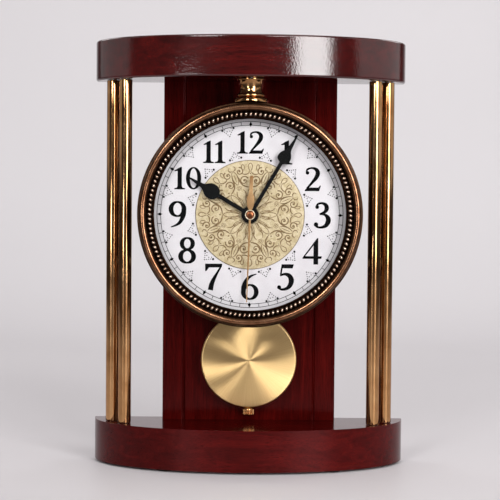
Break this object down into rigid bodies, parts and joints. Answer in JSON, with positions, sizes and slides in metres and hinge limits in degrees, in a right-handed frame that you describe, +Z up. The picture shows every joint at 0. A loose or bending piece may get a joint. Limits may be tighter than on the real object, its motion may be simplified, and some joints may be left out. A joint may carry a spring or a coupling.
{
  "type": "mantel clock",
  "caption": "Bow-fronted wooden mantel clock with brass columns, a round copper-rimmed dial under a turned spool, geared hands driven from a quartz movement, and a swinging pendulum.",
  "frame": {"origin": "centre of the footprint, at the bottom of the feet", "axes": "+Z up, -Y towards the viewer of the dial, +X to that viewer's right"},
  "size_m": [0.24, 0.07, 0.3253],
  "materials": {
    "mahogany": "gloss",
    "beech": "matte",
    "brass": "polished",
    "satin_brass": "satin",
    "antique_copper": "polished",
    "steel": "satin",
    "rubber": "matte",
    "crystal": "gloss",
    "dial_white": "satin",
    "dial_gold": "satin",
    "black_hands": "satin",
    "copper_hand": "satin",
    "black_plastic": "matte",
    "white_plastic": "satin",
    "coil_wire": "satin",
    "circuit_green": "satin",
    "cell_sleeve": "satin"
  },
  "bodies": {
    "stand": {"foot_back_left": "rubber", "foot_front_left": "rubber", "foot_back_right": "rubber", "foot_front_right": "rubber", "base_plate": "mahogany", "top_plate": "mahogany", "backboard": "mahogany", "column_left_outer": "brass", "column_left_inner": "brass", "column_right_outer": "brass", "column_right_inner": "brass", "tie_bolt_left_outer": "steel", "tie_bolt_left_inner": "steel", "tie_bolt_right_outer": "steel", "tie_bolt_right_inner": "steel", "board_dowel_left": "beech", "board_dowel_right": "beech", "head_post_upper_left": "steel", "head_post_lower_left": "steel", "head_post_upper_right": "steel", "head_post_lower_right": "steel", "post_screw_upper_left": "steel", "post_screw_lower_left": "steel", "post_screw_upper_right": "steel", "post_screw_lower_right": "steel", "spool": "brass", "spool_stud": "steel", "head_drum": "antique_copper", "bezel": "antique_copper", "crystal": "crystal", "dial": "dial_white", "dial_centre_disc": "dial_gold", "movement_case": "black_plastic", "movement_cover": "black_plastic", "centre_bush": "brass", "dial_nut": "brass", "circuit_board": "circuit_green", "stator": "steel", "motor_coil": "coil_wire", "pendulum_coil": "coil_wire", "contact_negative": "steel", "contact_positive": "steel"},
    "minute_train": {"centre_wheel": "white_plastic", "minute_hand": "black_hands"},
    "hour_train": {"hour_wheel": "white_plastic", "hour_hand": "black_hands"},
    "seconds_train": {"seconds_wheel": "white_plastic", "second_hand": "copper_hand"},
    "third_train": {"third_wheel": "white_plastic"},
    "intermediate_train": {"intermediate_wheel": "white_plastic"},
    "motor_rotor": {"rotor": "white_plastic"},
    "motion_train": {"motion_wheel": "white_plastic"},
    "setting_shaft": {"setting_knob": "black_plastic"},
    "pendulum": {"pendulum_hanger": "black_plastic", "pendulum_magnet": "steel", "pendulum_rod": "brass"},
    "pendulum_bob": {"bob": "satin_brass"},
    "bob_nut": {"rating_nut": "brass"},
    "cell": {"battery": "cell_sleeve"}
  },
  "joints": [
    {"name": "minute_hand_turn", "type": "hinge", "parent": "stand", "child": "minute_train", "pos_m": [0, -0.016, 0.1925], "axis": [0, 1, 0], "continuous": true},
    {"name": "hour_hand_turn", "type": "hinge", "parent": "stand", "child": "hour_train", "pos_m": [0, -0.015, 0.1925], "axis": [0, 1, 0], "continuous": true},
    {"name": "second_hand_turn", "type": "hinge", "parent": "stand", "child": "seconds_train", "pos_m": [0, -0.0175, 0.1925], "axis": [0, 1, 0], "continuous": true},
    {"name": "third_wheel_turn", "type": "hinge", "parent": "stand", "child": "third_train", "pos_m": [0.00893, 0, 0.1925], "axis": [0, 1, 0], "continuous": true},
    {"name": "intermediate_wheel_turn", "type": "hinge", "parent": "stand", "child": "intermediate_train", "pos_m": [0, 0, 0.1853], "axis": [0, 1, 0], "continuous": true},
    {"name": "rotor_turn", "type": "hinge", "parent": "stand", "child": "motor_rotor", "pos_m": [0.00546, 0, 0.18215], "axis": [0, 1, 0], "continuous": true},
    {"name": "motion_wheel_turn", "type": "hinge", "parent": "stand", "child": "motion_train", "pos_m": [-0.008, -0.005, 0.1925], "axis": [0, 1, 0], "continuous": true},
    {"name": "setting_knob_turn", "type": "hinge", "parent": "stand", "child": "setting_shaft", "pos_m": [-0.016, 0.012, 0.1925], "axis": [0, 1, 0], "continuous": true},
    {"name": "pendulum_swing", "type": "hinge", "parent": "stand", "child": "pendulum", "pos_m": [0, 0.013, 0.1745], "axis": [0, 1, 0], "range_deg": [-5, 5]},
    {"name": "bob_slide", "type": "slide", "parent": "pendulum", "child": "pendulum_bob", "axis": [0, 0, 1], "range_m": [-0.001, 0.001]},
    {"name": "rating_nut_turn", "type": "hinge", "parent": "pendulum_bob", "child": "bob_nut", "pos_m": [0, 0.013, 0.0406], "axis": [0, 0, 1], "range_deg": [-720, 720]},
    {"name": "cell_slide", "type": "slide", "parent": "stand", "child": "cell", "axis": [0, 1, 0], "range_m": [0, 0.055]}
  ],
  "couplings": [
    {"joint": "hour_hand_turn", "follows": "minute_hand_turn", "ratio": 0.083333},
    {"joint": "second_hand_turn", "follows": "minute_hand_turn", "ratio": 60},
    {"joint": "third_wheel_turn", "follows": "minute_hand_turn", "ratio": -8},
    {"joint": "intermediate_wheel_turn", "follows": "minute_hand_turn", "ratio": -300},
    {"joint": "rotor_turn", "follows": "minute_hand_turn", "ratio": 1800},
    {"joint": "motion_wheel_turn", "follows": "minute_hand_turn", "ratio": -0.33333},
    {"joint": "setting_knob_turn", "follows": "minute_hand_turn", "ratio": 1},
    {"joint": "rating_nut_turn", "follows": "bob_slide", "rad_per_m": 12566}
  ]
}
